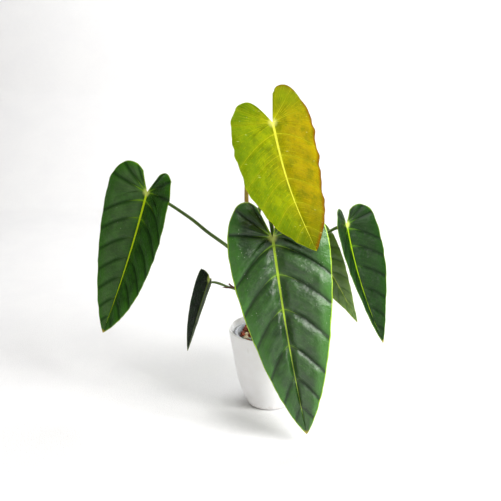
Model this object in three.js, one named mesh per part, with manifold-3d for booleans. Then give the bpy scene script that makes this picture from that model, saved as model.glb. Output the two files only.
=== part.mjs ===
// Potted philodendron: a climbing aroid in a nursery pot of mineral granules, stood in a white cover pot.
// Millimetres, +Z up. The origin is the middle of the cover pot's flat base, and -Y is the plant's front.
import * as THREE from 'three';
import { mergeVertices } from 'three/addons/utils/BufferGeometryUtils.js';
import Module from 'manifold-3d';

const wasm = await Module();
wasm.setup();

// ---------------------------------------------------------------- driving dimensions
const GAP = 0.3;                    // left between pieces that touch

const POT_HEIGHT = 155;
const POT_RIM_RADIUS = 80;
const POT_BASE_RADIUS = 55;
const POT_WALL = 3.5;
const POT_FLOOR = 5;
const POT_FOOT_ROUNDING = 7;        // radius between the base and the wall
const POT_TUCK = 12;                // how far the wall has curved in, off its straight taper, at the base
const POT_TUCK_HEIGHT = 75;         // where that curve starts
const POT_TUCK_STEPS = 6;
const POT_LIP_ROUNDING = 1.2;

const RIM_DROP = 9;                 // the nursery pot's rim stands this far below the cover pot's
const RIM_CLEARANCE = 8;            // between the nursery pot's rolled rim and the cover pot
const BASE_CLEARANCE = 2;           // between the nursery pot's base and the start of the cover pot's wall
const NURSERY_WALL = 1.4;
const NURSERY_LIP = 2.6;            // how far the rolled rim stands out
const NURSERY_LIP_HEIGHT = 4;
const DRAIN_HOLES = 6;
const DRAIN_RADIUS = 4;
const DRAIN_RING_RADIUS = 28;

const FILL_BELOW_RIM = 9;           // from the nursery pot's rim down to the top of the fill
const CROWN_DEPTH = 6;              // the plant's crown, its zero height, lies this far below that top

const STEM_HEIGHT = 120;            // above the crown
const STEM_DEPTH = 70;              // below the crown
const STEM_RADIUS = 8;
const STEM_NODE_SWELL = 0.18;       // how much thicker the stem is at a node
const STEM_NODE_SPACING = 24;

const BLADE_THICKNESS = 1.4;
const RIB_DEPTH = 1.6;              // midrib, standing out below the blade
const PETIOLE_SEAT = 6;             // from the notch of the blade down to where its petiole meets it
const VEIN_SLOPE = 0.11;            // how much lower a vein ends than it starts, over the blade's length
const VEIN_ARCH = 0.03;             // how high a vein arches between its ends, over the blade's length

const GRANULE_SIZE = 9;             // across one granule of lava or pumice
const POT_SIDES = 48;

// Half a leaf outline, from the inner shoulder of the lobe round to the tip. The first number is in half
// widths; the second is in lobe lengths above the notch, and in blade lengths below it.
const HALF_OUTLINE = [
  [0.22, 0.80], [0.42, 0.99], [0.66, 0.93], [0.86, 0.55], [0.97, 0.10], [1.00, -0.10], [0.95, -0.26],
  [0.83, -0.43], [0.65, -0.61], [0.43, -0.78], [0.21, -0.91], [0.07, -0.975], [0.00, -1.00],
];
const OUTLINE_STEPS = 24;
const ACROSS = [0, 0.07, 0.32, 0.56, 0.80, 1];    // from the midrib to the margin

// Heights on the plant, here and below, are above its crown.
// Each leaf: where its notch is, how it is turned (degrees), its size, and how it is curved (degrees).
// yaw turns it about the vertical, pitch brings its tip forward when negative, roll swings its tip sideways.
// halves are [left, right]: fold lifts a half off the midrib's plane and cup goes on lifting it outwards.
// full and tipFull widen the outline, over the middle and near the tip; sway bows the midrib sideways.
// rise, via and petiole give the leaf stalk: its height on the stem, points on its way, and its radii.
const LEAVES = [
  {
    name: 'front', notch: [0, -112, 230], yaw: -6, pitch: -16, roll: 11, length: 352,
    width: [80, 94], lobe: [70, 68], fold: [9, 9], cup: [-10, -10], full: [-0.05, 0], tipFull: [0.02, 0.02],
    bend: 16, lobeBend: 14, sway: -3, wave: 1.5,
    rise: 98, via: [[-8, -22, 137], [-20, -44, 209], [-22, -58, 267], [-12, -72, 281]], petiole: [4.0, 3.2],
  },
  {
    name: 'top', notch: [-1, -85, 420], yaw: 7, pitch: -24, roll: 17, length: 226,
    width: [77, 76], lobe: [43, 60], fold: [10, -2], cup: [4, -28], full: [0.05, 0], tipFull: [0.12, 0.1],
    bend: 12, lobeBend: -8, sway: -10, wave: 3,
    rise: 114, via: [[-14, -4, 159], [-38, -6, 219], [-45, -8, 289], [-36, -18, 359]], petiole: [4.4, 3.4],
  },
  {
    name: 'left', notch: [-225, -10, 289], yaw: -31, pitch: -8, roll: -14, length: 281,
    width: [90, 88], lobe: [45, 50], fold: [12, 9], cup: [-19, 30], full: [0, 0.15], tipFull: [0, 0],
    bend: -11, lobeBend: 8, sway: 0, wave: 1.5,
    rise: 104, via: [[-30, 0, 143], [-84, -2, 188], [-117, 0, 212], [-150, 2, 239]], petiole: [3.8, 2.8],
  },
  {
    name: 'right', notch: [142, 15, 223.5], yaw: 48, pitch: -10, roll: 6, length: 240,
    width: [70, 69], lobe: [38, 31], fold: [21, 10], cup: [1, 18], full: [-0.22, 0.16], tipFull: [0, 0],
    bend: -18, lobeBend: 2, sway: 0, wave: 1.5,
    rise: 108, via: [[28, 6, 141], [66, 14, 173], [106, 26, 203]], petiole: [3.4, 2.6],
  },
  {
    name: 'lower_left', notch: [-113, -20, 127], yaw: -70, pitch: -16, roll: -12, length: 160,
    width: [38, 38], lobe: [6, 8], fold: [16, 14], cup: [0, 0], full: [0.1, 0], tipFull: [0.05, 0],
    bend: 4, lobeBend: 0, sway: 0, wave: 0.8,
    rise: 68, via: [[-24, -4, 84], [-52, -8, 99], [-82, -12, 110]], petiole: [2.6, 2.0],
  },
  {
    name: 'back', notch: [82, 75, 175], yaw: 14, pitch: -6, roll: 31, length: 215,
    width: [54, 46], lobe: [38, 36], fold: [10, 10], cup: [0, -14], full: [-0.1, -0.08],
    tipFull: [-0.15, -0.15],
    bend: 15, lobeBend: 0, sway: 2, wave: 1.5,
    rise: 88, via: [[14, 32, 115], [38, 72, 145]], petiole: [3.2, 2.5],
  },
];

// Aerial roots: the first reaches out and forks, the others bend down into the granules.
const ROOT_RADIUS = 1.6;
const FREE_ROOT = {
  rise: 84, via: [[-34, -22, 109], [-56, -28, 114]], ends: [[-90, -31, 114], [-78, -31, 122]],
};
const FREE_ROOT_FORK = [-69, -30, 114];
const GROUND_ROOTS = [
  { rise: 46, via: [[13, -9, 41], [18, -12, 17]] },
  { rise: 32, via: [[-12, 10, 27], [-16, 13, 13]] },
];
const ROOT_BURIED = 22;             // how deep a ground root goes into the fill

// The next leaf, still rolled in its pointed sheath at the top of the stem.
const SPEAR_TIP = [6, 30, 219];
const SPEAR_RADIUS = 5;

const COLOURS = {
  pot: [0xe9e8e6, 0.35], nursery: [0xd4dcdf, 0.3], fill: [0x6e4a3a, 0.95],
  lava: [0x8a4a34, 0.95], pumice: [0xd8cbb2, 0.9], zeolite: [0x8f9a8a, 0.9],
  stem: [0x5c6b35, 0.6], root: [0x5a3a26, 0.8], spear: [0x9aa84a, 0.45],
  leaf: [0x1f4a22, 0.35], youngLeaf: [0x9aa81f, 0.35],
  petiole: [0x5f7a35, 0.45], youngPetiole: [0xa8752e, 0.45],
};

// ---------------------------------------------------------------- sizes worked out from the above
const coverSlope = (POT_RIM_RADIUS - POT_BASE_RADIUS) / POT_HEIGHT;
const coverTuckAt = (z) => POT_TUCK * Math.max(0, 1 - z / POT_TUCK_HEIGHT) ** 2;
const coverOuterAt = (z) => POT_BASE_RADIUS + coverSlope * z - coverTuckAt(z);
const coverInnerAt = (z) => coverOuterAt(z) - POT_WALL;
const coverFloorRadius = coverInnerAt(POT_FLOOR) - POT_FOOT_ROUNDING;

const nurseryBase = POT_FLOOR + GAP;
const nurseryRim = POT_HEIGHT - RIM_DROP;
const nurseryBaseRadius = coverFloorRadius - BASE_CLEARANCE;
const nurseryRimRadius = coverInnerAt(nurseryRim) - RIM_CLEARANCE - NURSERY_LIP;
const nurserySlope = (nurseryRimRadius - nurseryBaseRadius) / (nurseryRim - nurseryBase);
const nurseryOuterAt = (z) => nurseryBaseRadius + nurserySlope * (z - nurseryBase);
const nurseryInnerAt = (z) => nurseryOuterAt(z) - NURSERY_WALL;

const fillBase = nurseryBase + NURSERY_WALL + GAP;
const fillTop = nurseryRim - FILL_BELOW_RIM;

// ---------------------------------------------------------------- helpers
/** A place in the model, from one on the plant, whose height is above its crown. */
const grown = ([x, y, z]) => new THREE.Vector3(x, y, fillTop - CROWN_DEPTH + z);
const radians = THREE.MathUtils.degToRad;

/** One shared vertex per place, and no collapsed triangles: what a closed body needs. */
function weld(geometry) {
  const bare = new THREE.BufferGeometry();
  bare.setAttribute('position', geometry.getAttribute('position'));
  bare.setIndex(geometry.getIndex());
  const merged = mergeVertices(bare, 1e-4);
  const index = merged.getIndex().array;
  const kept = [];
  for (let i = 0; i < index.length; i += 3) {
    const [a, b, c] = [index[i], index[i + 1], index[i + 2]];
    if (a !== b && b !== c && c !== a) kept.push(a, b, c);
  }
  merged.setIndex(kept);
  return merged;
}

function toSolid(geometry) {
  const welded = weld(geometry);
  const vertProperties = new Float32Array(welded.getAttribute('position').array);
  const triVerts = new Uint32Array(welded.getIndex().array);
  return new wasm.Manifold(new wasm.Mesh({ numProp: 3, vertProperties, triVerts }));
}

function toGeometry(solid) {
  const { vertProperties, triVerts } = solid.getMesh();
  const geometry = new THREE.BufferGeometry();
  geometry.setAttribute('position', new THREE.BufferAttribute(vertProperties, 3));
  geometry.setIndex(new THREE.BufferAttribute(triVerts, 1));
  return geometry;
}

/** A closed body of revolution about +Z, from [radius, height] points. */
function turned(profile, sides = POT_SIDES) {
  const points = profile.map(([radius, height]) => new THREE.Vector2(radius, height));
  return weld(new THREE.LatheGeometry(points, sides).rotateX(Math.PI / 2));
}

/** Points on a quarter round, from one angle to another, about a centre. */
function arc([x, y], radius, from, to, steps = 5) {
  const angles = Array.from({ length: steps + 1 }, (_, i) => radians(from + ((to - from) * i) / steps));
  return angles.map((a) => [x + radius * Math.cos(a), y + radius * Math.sin(a)]);
}

/** A tube along a smooth curve through the points, whose radius follows radiusAt(0 to 1). */
function sweep(points, radiusAt, { sides = 8, steps = 14 } = {}) {
  const path = new THREE.CatmullRomCurve3(points);
  const circle = new THREE.Shape();
  circle.setFromPoints(Array.from({ length: sides }, (_, i) => {
    const angle = (i / sides) * 2 * Math.PI;
    return new THREE.Vector2(Math.cos(angle), Math.sin(angle));
  }));
  const tube = new THREE.ExtrudeGeometry(circle, { steps, extrudePath: path, bevelEnabled: false });
  const rings = path.getSpacedPoints(steps);
  const position = tube.getAttribute('position');
  const point = new THREE.Vector3();
  for (let i = 0; i < position.count; i += 1) {
    point.fromBufferAttribute(position, i);
    const ring = rings.reduce((best, centre, k) => (
      point.distanceTo(centre) < point.distanceTo(rings[best]) ? k : best), 0);
    point.sub(rings[ring]).multiplyScalar(radiusAt(ring / steps)).add(rings[ring]);
    position.setXYZ(i, point.x, point.y, point.z);
  }
  return weld(tube);
}

function addMesh(parent, name, geometry, [colour, roughness]) {
  geometry.computeVertexNormals();
  const material = new THREE.MeshStandardMaterial({ color: colour, roughness, metalness: 0 });
  const mesh = new THREE.Mesh(geometry, material);
  mesh.name = name;
  parent.add(mesh);
  return mesh;
}

// ---------------------------------------------------------------- pots and fill
function coverPot() {
  const footLean = Math.atan(coverSlope + (2 * POT_TUCK) / POT_TUCK_HEIGHT);
  const footTop = POT_FOOT_ROUNDING * (1 - Math.sin(footLean));
  const foot = [coverOuterAt(footTop) - POT_FOOT_ROUNDING * Math.cos(footLean), POT_FOOT_ROUNDING];
  const lipStart = POT_HEIGHT - POT_LIP_ROUNDING;
  const coveTop = POT_FLOOR + POT_FOOT_ROUNDING;
  const rises = (from) => Array.from({ length: POT_TUCK_STEPS }, (_, i) => (
    from + ((POT_TUCK_HEIGHT - from) * (i + 1)) / POT_TUCK_STEPS));
  return turned([
    [0, 0],
    ...arc(foot, POT_FOOT_ROUNDING, -90, -THREE.MathUtils.radToDeg(footLean)),
    ...rises(footTop).map((z) => [coverOuterAt(z), z]),
    [coverOuterAt(lipStart), lipStart],
    [POT_RIM_RADIUS - POT_LIP_ROUNDING, POT_HEIGHT],
    [POT_RIM_RADIUS - POT_WALL + POT_LIP_ROUNDING, POT_HEIGHT],
    [coverInnerAt(lipStart), lipStart],
    ...rises(coveTop).reverse().map((z) => [coverInnerAt(z), z]),
    [coverInnerAt(coveTop), coveTop],
    [coverFloorRadius, POT_FLOOR],
    [0, POT_FLOOR],
  ]);
}

function nurseryPot() {
  const lipBase = nurseryRim - NURSERY_LIP_HEIGHT;
  const cup = toSolid(turned([
    [0, nurseryBase],
    [nurseryBaseRadius, nurseryBase],
    [nurseryOuterAt(lipBase), lipBase],
    [nurseryOuterAt(lipBase) + NURSERY_LIP, lipBase],
    [nurseryOuterAt(nurseryRim) + NURSERY_LIP, nurseryRim],
    [nurseryInnerAt(nurseryRim), nurseryRim],
    [nurseryInnerAt(nurseryBase + NURSERY_WALL), nurseryBase + NURSERY_WALL],
    [0, nurseryBase + NURSERY_WALL],
  ]));
  const drill = new THREE.CylinderGeometry(DRAIN_RADIUS, DRAIN_RADIUS, 4 * NURSERY_WALL, 16);
  drill.rotateX(Math.PI / 2).translate(DRAIN_RING_RADIUS, 0, nurseryBase + NURSERY_WALL / 2);
  let drilled = cup;
  for (let i = 0; i < DRAIN_HOLES; i += 1) {
    drilled = drilled.subtract(toSolid(drill.clone().rotateZ((i / DRAIN_HOLES) * 2 * Math.PI)));
  }
  return toGeometry(drilled);
}

/** The packed granules as one body, with a socket for each thing that is planted in it. */
function fillBody(planted) {
  const body = toSolid(turned([
    [0, fillBase],
    [nurseryInnerAt(fillBase) - GAP, fillBase],
    [nurseryInnerAt(fillTop) - GAP, fillTop],
    [0, fillTop],
  ]));
  return toGeometry(planted.reduce((left, socket) => left.subtract(socket), body));
}

// ---------------------------------------------------------------- stem, roots and next leaf
const stemLine = [
  [2, 3, -STEM_DEPTH],
  [-2, 1, -STEM_DEPTH / 3],
  [2, -1, STEM_HEIGHT / 4],
  [-2, 1, (STEM_HEIGHT * 2) / 3],
  [0, 0, STEM_HEIGHT],
].map(grown);
const stemLength = STEM_DEPTH + STEM_HEIGHT;

function stemBody(extra = 0) {
  const radiusAt = (t) => {
    const node = Math.cos((t * stemLength * 2 * Math.PI) / STEM_NODE_SPACING);
    const narrowing = 1 - 0.12 * t;
    return STEM_RADIUS * narrowing * (1 + STEM_NODE_SWELL * Math.max(0, node) ** 3) + extra;
  };
  return sweep(stemLine, radiusAt, { sides: 14, steps: 32 });
}

const stemCentre = (rise) => {
  const line = new THREE.CatmullRomCurve3(stemLine);
  return line.getPoint((STEM_DEPTH + rise) / stemLength);
};

const rootRadius = (extra) => (t) => ROOT_RADIUS * (1.25 - 0.35 * t) + extra;

function freeRoot() {
  const start = stemCentre(FREE_ROOT.rise);
  const fork = grown(FREE_ROOT_FORK);
  const [longEnd, shortEnd] = FREE_ROOT.ends.map(grown);
  const way = [start, ...FREE_ROOT.via.map(grown), fork, longEnd];
  const main = toSolid(sweep(way, rootRadius(0), { steps: 12 }));
  return main.add(toSolid(sweep([fork, shortEnd], rootRadius(0), { steps: 3 })));
}

function groundRoot({ rise, via }, extra = 0) {
  const [x, y] = via[via.length - 1];
  const buried = [x * 1.2, y * 1.2, -ROOT_BURIED - extra];
  return toSolid(sweep([stemCentre(rise), ...[...via, buried].map(grown)], rootRadius(extra), { steps: 10 }));
}

function spear() {
  const start = stemCentre(STEM_HEIGHT - SPEAR_RADIUS).add(new THREE.Vector3(-1, 5, 0));
  const tip = grown(SPEAR_TIP);
  const middle = start.clone().lerp(tip, 0.5).add(new THREE.Vector3(-1, 3, 0));
  const radiusAt = (t) => SPEAR_RADIUS * Math.sqrt(Math.max(0.01, (1 - t) * (0.55 + 1.8 * t)));
  return toSolid(sweep([start, middle, tip], radiusAt, { sides: 10, steps: 14 }));
}

// ---------------------------------------------------------------- leaves
/** The flat outline of one half, x outwards from the midrib and y up from the notch. */
function outline(leaf, half) {
  const points = HALF_OUTLINE.map(([across, along]) => {
    const down = Math.max(0, -along);
    const fuller = leaf.full[half] * Math.sin(Math.PI * down);
    const tipFuller = leaf.tipFull[half] * Math.sin(Math.PI * down ** 2);
    const y = along > 0 ? along * leaf.lobe[half] : along * leaf.length;
    return new THREE.Vector2((across + fuller + tipFuller) * leaf.width[half], y);
  });
  return new THREE.SplineCurve(points).getPoints(OUTLINE_STEPS);
}

/** A place on the curved blade and the way its face points there, from a place on the flat one. */
function curved(leaf, half, x, y, wave) {
  const side = half === 0 ? -1 : 1;
  const down = -y;
  const along = down >= 0 ? radians(leaf.bend) / leaf.length : -radians(leaf.lobeBend) / leaf.lobe[1];
  const turn = along * down;
  const reach = Math.abs(along) < 1e-6 ? down : Math.sin(turn) / along;
  const drop = Math.abs(along) < 1e-6 ? 0 : (1 - Math.cos(turn)) / along;

  const cupping = radians(leaf.cup[half]) / leaf.width[half];
  const fold = radians(leaf.fold[half]);
  const lean = fold + cupping * x;
  const straight = Math.abs(cupping) < 1e-6;
  const outwards = straight ? x * Math.cos(fold) : (Math.sin(lean) - Math.sin(fold)) / cupping;
  const lift = straight ? x * Math.sin(fold) : (Math.cos(fold) - Math.cos(lean)) / cupping;

  const bow = leaf.sway * Math.sin(Math.PI * THREE.MathUtils.clamp(down / leaf.length, 0, 1));
  const up = new THREE.Vector3(0, -Math.sin(turn), Math.cos(turn));
  const back = -Math.abs(drop) * Math.sign(along * down || 1);
  const place = new THREE.Vector3(side * outwards + bow, -reach, back);
  place.addScaledVector(up, lift + wave);
  const facing = x > 1e-6 ? lean : 0;
  const normal = new THREE.Vector3(-side * Math.sin(facing), 0, 0).addScaledVector(up, Math.cos(facing));
  return { place, normal };
}

/** Where each vein leaves the midrib, as a share of the blade's length: the same for both halves. */
function veinStarts(leaf) {
  return outline(leaf, 1).map((edge) => Math.max(0, (-edge.y / leaf.length - VEIN_SLOPE) / (1 - VEIN_SLOPE)));
}

function bladeBody(leaf) {
  const faces = { upper: [], lower: [] };      // [half][step along the outline][step across]
  const starts = veinStarts(leaf);
  for (const half of [0, 1]) {
    const rows = outline(leaf, half).map((edge, i) => {
      const start = starts[i];
      const arch = VEIN_ARCH * leaf.length * Math.min(1, start * 8) * (1 - start);
      return ACROSS.map((v) => {
        const y = THREE.MathUtils.lerp(-start * leaf.length, edge.y, v) + arch * 4 * v * (1 - v);
        const wave = leaf.wave * (1 - start) * v ** 2 * Math.sin(i * 1.3 + half * 2);
        const { place, normal } = curved(leaf, half, edge.x * v, y, wave);
        const rib = v === 0 ? RIB_DEPTH * (1 - start) : 0;
        return {
          upper: place.clone().addScaledVector(normal, BLADE_THICKNESS / 2),
          lower: place.clone().addScaledVector(normal, -BLADE_THICKNESS / 2 - rib),
        };
      });
    });
    faces.upper.push(rows.map((row) => row.map((p) => p.upper)));
    faces.lower.push(rows.map((row) => row.map((p) => p.lower)));
  }

  const triangles = [];
  const quad = (a, b, c, d, flip) => triangles.push(...(flip ? [a, c, b, a, d, c] : [a, b, c, a, c, d]));
  const last = ACROSS.length - 1;
  for (const half of [0, 1]) {
    const [upper, lower] = [faces.upper[half], faces.lower[half]];
    const left = half === 0;
    for (let i = 0; i < OUTLINE_STEPS; i += 1) {
      for (let j = 0; j < last; j += 1) {
        quad(upper[i][j], upper[i + 1][j], upper[i + 1][j + 1], upper[i][j + 1], left);
        quad(lower[i][j], lower[i + 1][j], lower[i + 1][j + 1], lower[i][j + 1], !left);
      }
      quad(upper[i][last], upper[i + 1][last], lower[i + 1][last], lower[i][last], left);
    }
    for (let j = 0; j < last; j += 1) {
      quad(upper[0][j], upper[0][j + 1], lower[0][j + 1], lower[0][j], left);
    }
  }
  return weld(new THREE.BufferGeometry().setFromPoints(triangles));
}

/** The leaf stalk, from inside the stem to just short of the blade's back, before the stem is cut out. */
function petioleBody(leaf, blade, extra = 0) {
  const seat = curved(leaf, 1, 0, -PETIOLE_SEAT, 0);
  const back = BLADE_THICKNESS / 2 + RIB_DEPTH + GAP;
  const [end, near, away] = [back, back + 5, back + 20].map((depth) => (
    blade.localToWorld(seat.place.clone().addScaledVector(seat.normal, -depth))));
  const [thick, thin] = leaf.petiole;
  const radiusAt = (t) => thin + (thick - thin) * (1 - t) + extra;
  const way = [stemCentre(leaf.rise), ...leaf.via.map(grown), away, near, end];
  return toSolid(sweep(way, radiusAt, { steps: 22 }));
}

// ---------------------------------------------------------------- granules
/** An angular lump, turned and squashed differently for each number. */
function granuleBody(number) {
  const share = (salt) => (number * 0.618034 + salt * 0.414214) % 1;
  const lump = new THREE.IcosahedronGeometry(GRANULE_SIZE / 2, 0);
  lump.scale(0.85 + 0.3 * share(1), 0.85 + 0.3 * share(2), 0.75 + 0.2 * share(3));
  lump.rotateX(share(4) * Math.PI).rotateY(share(5) * Math.PI).rotateZ(share(6) * Math.PI);
  lump.computeBoundingBox();
  return weld(lump.translate(0, 0, -lump.boundingBox.min.z));
}

const GRANULE_RINGS = [
  { count: 8, radius: 33, turn: 12 },
  { count: 14, radius: 51, turn: 0 },
];
const GRANULE_KINDS = ['lava', 'lava', 'pumice', 'lava', 'zeolite'];

// ---------------------------------------------------------------- the plant in its pots
const plant = new THREE.Group();

addMesh(plant, 'cover_pot', coverPot(), COLOURS.pot);
addMesh(plant, 'nursery_pot', nurseryPot(), COLOURS.nursery);

const sockets = [toSolid(stemBody(GAP)), ...GROUND_ROOTS.map((root) => groundRoot(root, GAP))];
addMesh(plant, 'substrate_fill', fillBody(sockets), COLOURS.fill);
addMesh(plant, 'main_stem', stemBody(), COLOURS.stem);

const stemSocket = sockets[0];
addMesh(plant, 'aerial_root_forked', toGeometry(freeRoot().subtract(stemSocket)), COLOURS.root);
GROUND_ROOTS.forEach((root, i) => {
  addMesh(plant, `ground_root_${i + 1}`, toGeometry(groundRoot(root).subtract(stemSocket)), COLOURS.root);
});

for (const leaf of LEAVES) {
  const young = leaf.name === 'top';
  const holder = new THREE.Group();
  holder.position.copy(grown(leaf.notch));
  holder.rotation.z = radians(leaf.yaw);
  plant.add(holder);
  const tint = young ? COLOURS.youngLeaf : COLOURS.leaf;
  const blade = addMesh(holder, `blade_${leaf.name}`, bladeBody(leaf), tint);
  blade.rotation.set(radians(90 + leaf.pitch), 0, radians(leaf.roll));
  blade.updateWorldMatrix(true, false);
  const stalk = toGeometry(petioleBody(leaf, blade).subtract(stemSocket));
  addMesh(plant, `petiole_${leaf.name}`, stalk, young ? COLOURS.youngPetiole : COLOURS.petiole);
  if (young) {
    const sheath = spear().subtract(stemSocket).subtract(petioleBody(leaf, blade, GAP));
    addMesh(plant, 'next_leaf_sheath', toGeometry(sheath), COLOURS.spear);
  }
}

let granuleNumber = 0;
for (const { count, radius, turn } of GRANULE_RINGS) {
  for (let i = 0; i < count; i += 1) {
    granuleNumber += 1;
    const kind = GRANULE_KINDS[granuleNumber % GRANULE_KINDS.length];
    const angle = (i / count) * 2 * Math.PI + radians(turn);
    const body = granuleBody(granuleNumber);
    const granule = addMesh(plant, `granule_${kind}_${granuleNumber}`, body, COLOURS[kind]);
    granule.position.set(radius * Math.cos(angle), radius * Math.sin(angle), fillTop + GAP);
  }
}

export default plant;
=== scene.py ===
import math
import random

import bpy
import numpy as np
from mathutils import Matrix, Vector, noise


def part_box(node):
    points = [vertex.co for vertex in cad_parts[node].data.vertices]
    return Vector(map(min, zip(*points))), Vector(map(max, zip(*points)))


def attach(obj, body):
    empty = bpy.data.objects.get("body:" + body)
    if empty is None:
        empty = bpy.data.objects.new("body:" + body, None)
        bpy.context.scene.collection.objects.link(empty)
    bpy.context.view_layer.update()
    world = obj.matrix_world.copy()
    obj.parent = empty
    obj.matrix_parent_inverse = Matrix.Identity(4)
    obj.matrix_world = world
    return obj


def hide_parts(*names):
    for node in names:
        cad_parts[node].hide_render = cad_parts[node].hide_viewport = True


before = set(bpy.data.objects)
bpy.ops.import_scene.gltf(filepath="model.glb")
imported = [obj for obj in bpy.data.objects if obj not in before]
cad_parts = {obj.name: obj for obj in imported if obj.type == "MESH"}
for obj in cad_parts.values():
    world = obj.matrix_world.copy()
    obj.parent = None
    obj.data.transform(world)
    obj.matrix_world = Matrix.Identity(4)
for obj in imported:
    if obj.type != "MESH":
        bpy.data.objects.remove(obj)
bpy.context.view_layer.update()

# Potted philodendron: the looks of the leaves, stalks, stem, granules and pots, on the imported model.
# Sizes are in millimetres and angles in degrees, unless a name says otherwise; MM makes them metres.
MM = 0.001

# ---------------------------------------------------------------- places read from the frame
_, POT_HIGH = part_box("cover_pot")
POT_RIM_RADIUS = POT_HIGH.x / MM
POT_HEIGHT = POT_HIGH.z / MM
FILL_LOW, FILL_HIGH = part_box("substrate_fill")
FILL_BASE = FILL_LOW.z / MM
FILL_TOP = FILL_HIGH.z / MM
FILL_RADIUS = FILL_HIGH.x / MM
FILL_POINTS = [vertex.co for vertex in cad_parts["substrate_fill"].data.vertices]
FILL_FOOT_RADIUS = max(point.x for point in FILL_POINTS if point.z < FILL_LOW.z + 1e-4) / MM

# ---------------------------------------------------------------- the pots' own sizes
POT_BASE_RADIUS = 55
POT_WALL = 3.5
POT_FLOOR = 5
POT_FOOT_ROUNDING = 7
POT_TUCK = 12             # how far the wall has curved in, off its straight taper, at the base
POT_TUCK_HEIGHT = 75
POT_SIDES = 160
BASE_GROOVE = 0.5
BASE_RINGS = [(20, 0), (26, 0), (27, BASE_GROOVE), (31, BASE_GROOVE), (32, 0)]
NURSERY_SOFTENING = 0.35  # width of the bevel on the inner pot's edges
BED_SIDES = 120

# ---------------------------------------------------------------- the leaves
# Half an outline from the lobe's inner shoulder round to the tip: across in half widths, and along in
# lobe lengths above the notch or blade lengths below it.
HALF_OUTLINE = [
    (0.22, 0.80), (0.42, 0.99), (0.66, 0.93), (0.86, 0.55), (0.97, 0.10), (1.00, -0.10), (0.95, -0.26),
    (0.83, -0.43), (0.65, -0.61), (0.43, -0.78), (0.21, -0.91), (0.07, -0.975), (0.00, -1.00),
]
ROWS = 190                # along the outline
COLUMNS = 22              # from the midrib to the margin
COLUMN_SPREAD = 1.35      # above 1 the columns lie closer together near the midrib
BLADE_THICKNESS = 1.0
VEIN_DROP = 0.18          # how much lower a vein ends than it starts, over the blade's length
VEIN_BEND = 0.55          # how much a vein turns down on its way, above the even slope of 1
CREASE_WIDTH = 5.5        # how far from a vein the blade has mostly risen
FULL_PITCH = 34           # veins this far apart or more have the full height between them
NIBBLE_SIZE = 15          # spacing of the unevenness along the margin
RIPPLE_SIZE = 22          # spacing of the margin's waves
SWAY_SIZE = 45            # spacing of the blade's slow waves
PATCH_SIZE = 30           # spacing at which the puckers grow and fade
LUMP_SIZE = 12            # spacing of the small lumps
PUCKER_DEPTH = 1.8        # heights in the leaf skin's relief
BLISTER_DEPTH = 0.5
LOBE_VEINS = (0.07, 0.19, 0.31)                    # where the veins of a lobe end, along the outline
SIDE_VEINS = (0.04, 0.18, 0.35, 0.53, 0.70, 0.85)  # where the others leave the midrib, down the blade

LEAVES = {
    "front": dict(
        notch=(0, -112, 230), yaw=-6, pitch=-16, roll=11, length=352, width=(80, 94), lobe=(70, 68),
        fold=(9, 9), cup=(-10, -10), full=(-0.05, 0), tip_full=(0.02, 0.02), bend=16, lobe_bend=14, sway=-3,
        wave=1.5, crinkle=1.2, quilt=(6.2, 8.0), rise=98, petiole=(4.0, 3.2),
        via=[(-8, -22, 137), (-20, -44, 209), (-22, -58, 267), (-12, -72, 281)],
    ),
    "top": dict(
        notch=(-1, -85, 420), yaw=7, pitch=-24, roll=17, length=226, width=(77, 76), lobe=(43, 60),
        fold=(10, -2), cup=(4, -28), full=(0.05, 0), tip_full=(0.12, 0.1), bend=12, lobe_bend=-8, sway=-10,
        wave=3, crinkle=4.0, quilt=(2.0, 1.6), veins=(0.09, 0.25, 0.43, 0.61, 0.80), rise=114,
        petiole=(4.4, 3.4),
        via=[(-14, -4, 159), (-38, -6, 219), (-45, -8, 289), (-36, -18, 359)],
    ),
    "left": dict(
        notch=(-225, -10, 289), yaw=-31, pitch=-8, roll=-14, length=281, width=(90, 88), lobe=(45, 50),
        fold=(12, 9), cup=(-19, 30), full=(0, 0.15), tip_full=(0, 0), bend=-11, lobe_bend=8, sway=0,
        wave=1.5, crinkle=1.2, quilt=(3.0, 4.6), veins=(0.06, 0.18, 0.32, 0.46, 0.60, 0.75, 0.88), rise=104,
        petiole=(3.8, 2.8),
        via=[(-30, 0, 143), (-84, -2, 188), (-117, 0, 212), (-150, 2, 239)],
    ),
    "right": dict(
        notch=(142, 15, 223.5), yaw=48, pitch=-10, roll=6, length=240, width=(70, 69), lobe=(38, 31),
        fold=(21, 10), cup=(1, 18), full=(-0.22, 0.16), tip_full=(0, 0), bend=-18, lobe_bend=2, sway=0,
        wave=1.5, crinkle=2.0, quilt=(1.8, 2.4), rise=108, petiole=(3.4, 2.6),
        via=[(28, 6, 141), (66, 14, 173), (106, 26, 203)],
    ),
    "lower_left": dict(
        notch=(-113, -20, 127), yaw=-70, pitch=-16, roll=-12, length=160, width=(38, 38), lobe=(6, 8),
        fold=(16, 14), cup=(0, 0), full=(0.1, 0), tip_full=(0.05, 0), bend=4, lobe_bend=0, sway=0,
        wave=0.8, crinkle=0.8, quilt=(1.0, 1.0), rise=68, petiole=(2.6, 2.0),
        via=[(-24, -4, 84), (-52, -8, 99), (-82, -12, 110)],
    ),
    "back": dict(
        notch=(82, 75, 175), yaw=14, pitch=-6, roll=31, length=215, width=(54, 46), lobe=(38, 36),
        fold=(10, 10), cup=(0, -14), full=(-0.1, -0.08), tip_full=(-0.15, -0.15), bend=15, lobe_bend=0,
        sway=2, wave=1.5, crinkle=1.5, quilt=(1.6, 1.6), rise=88, petiole=(3.2, 2.5),
        via=[(14, 32, 115), (38, 72, 145)],
    ),
}
PETIOLE_SEAT = 6          # how far below the notch a stalk meets its blade
RIB_DEPTH = 1.6
RIB_HEIGHT_ON_FACE = 0.45

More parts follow.
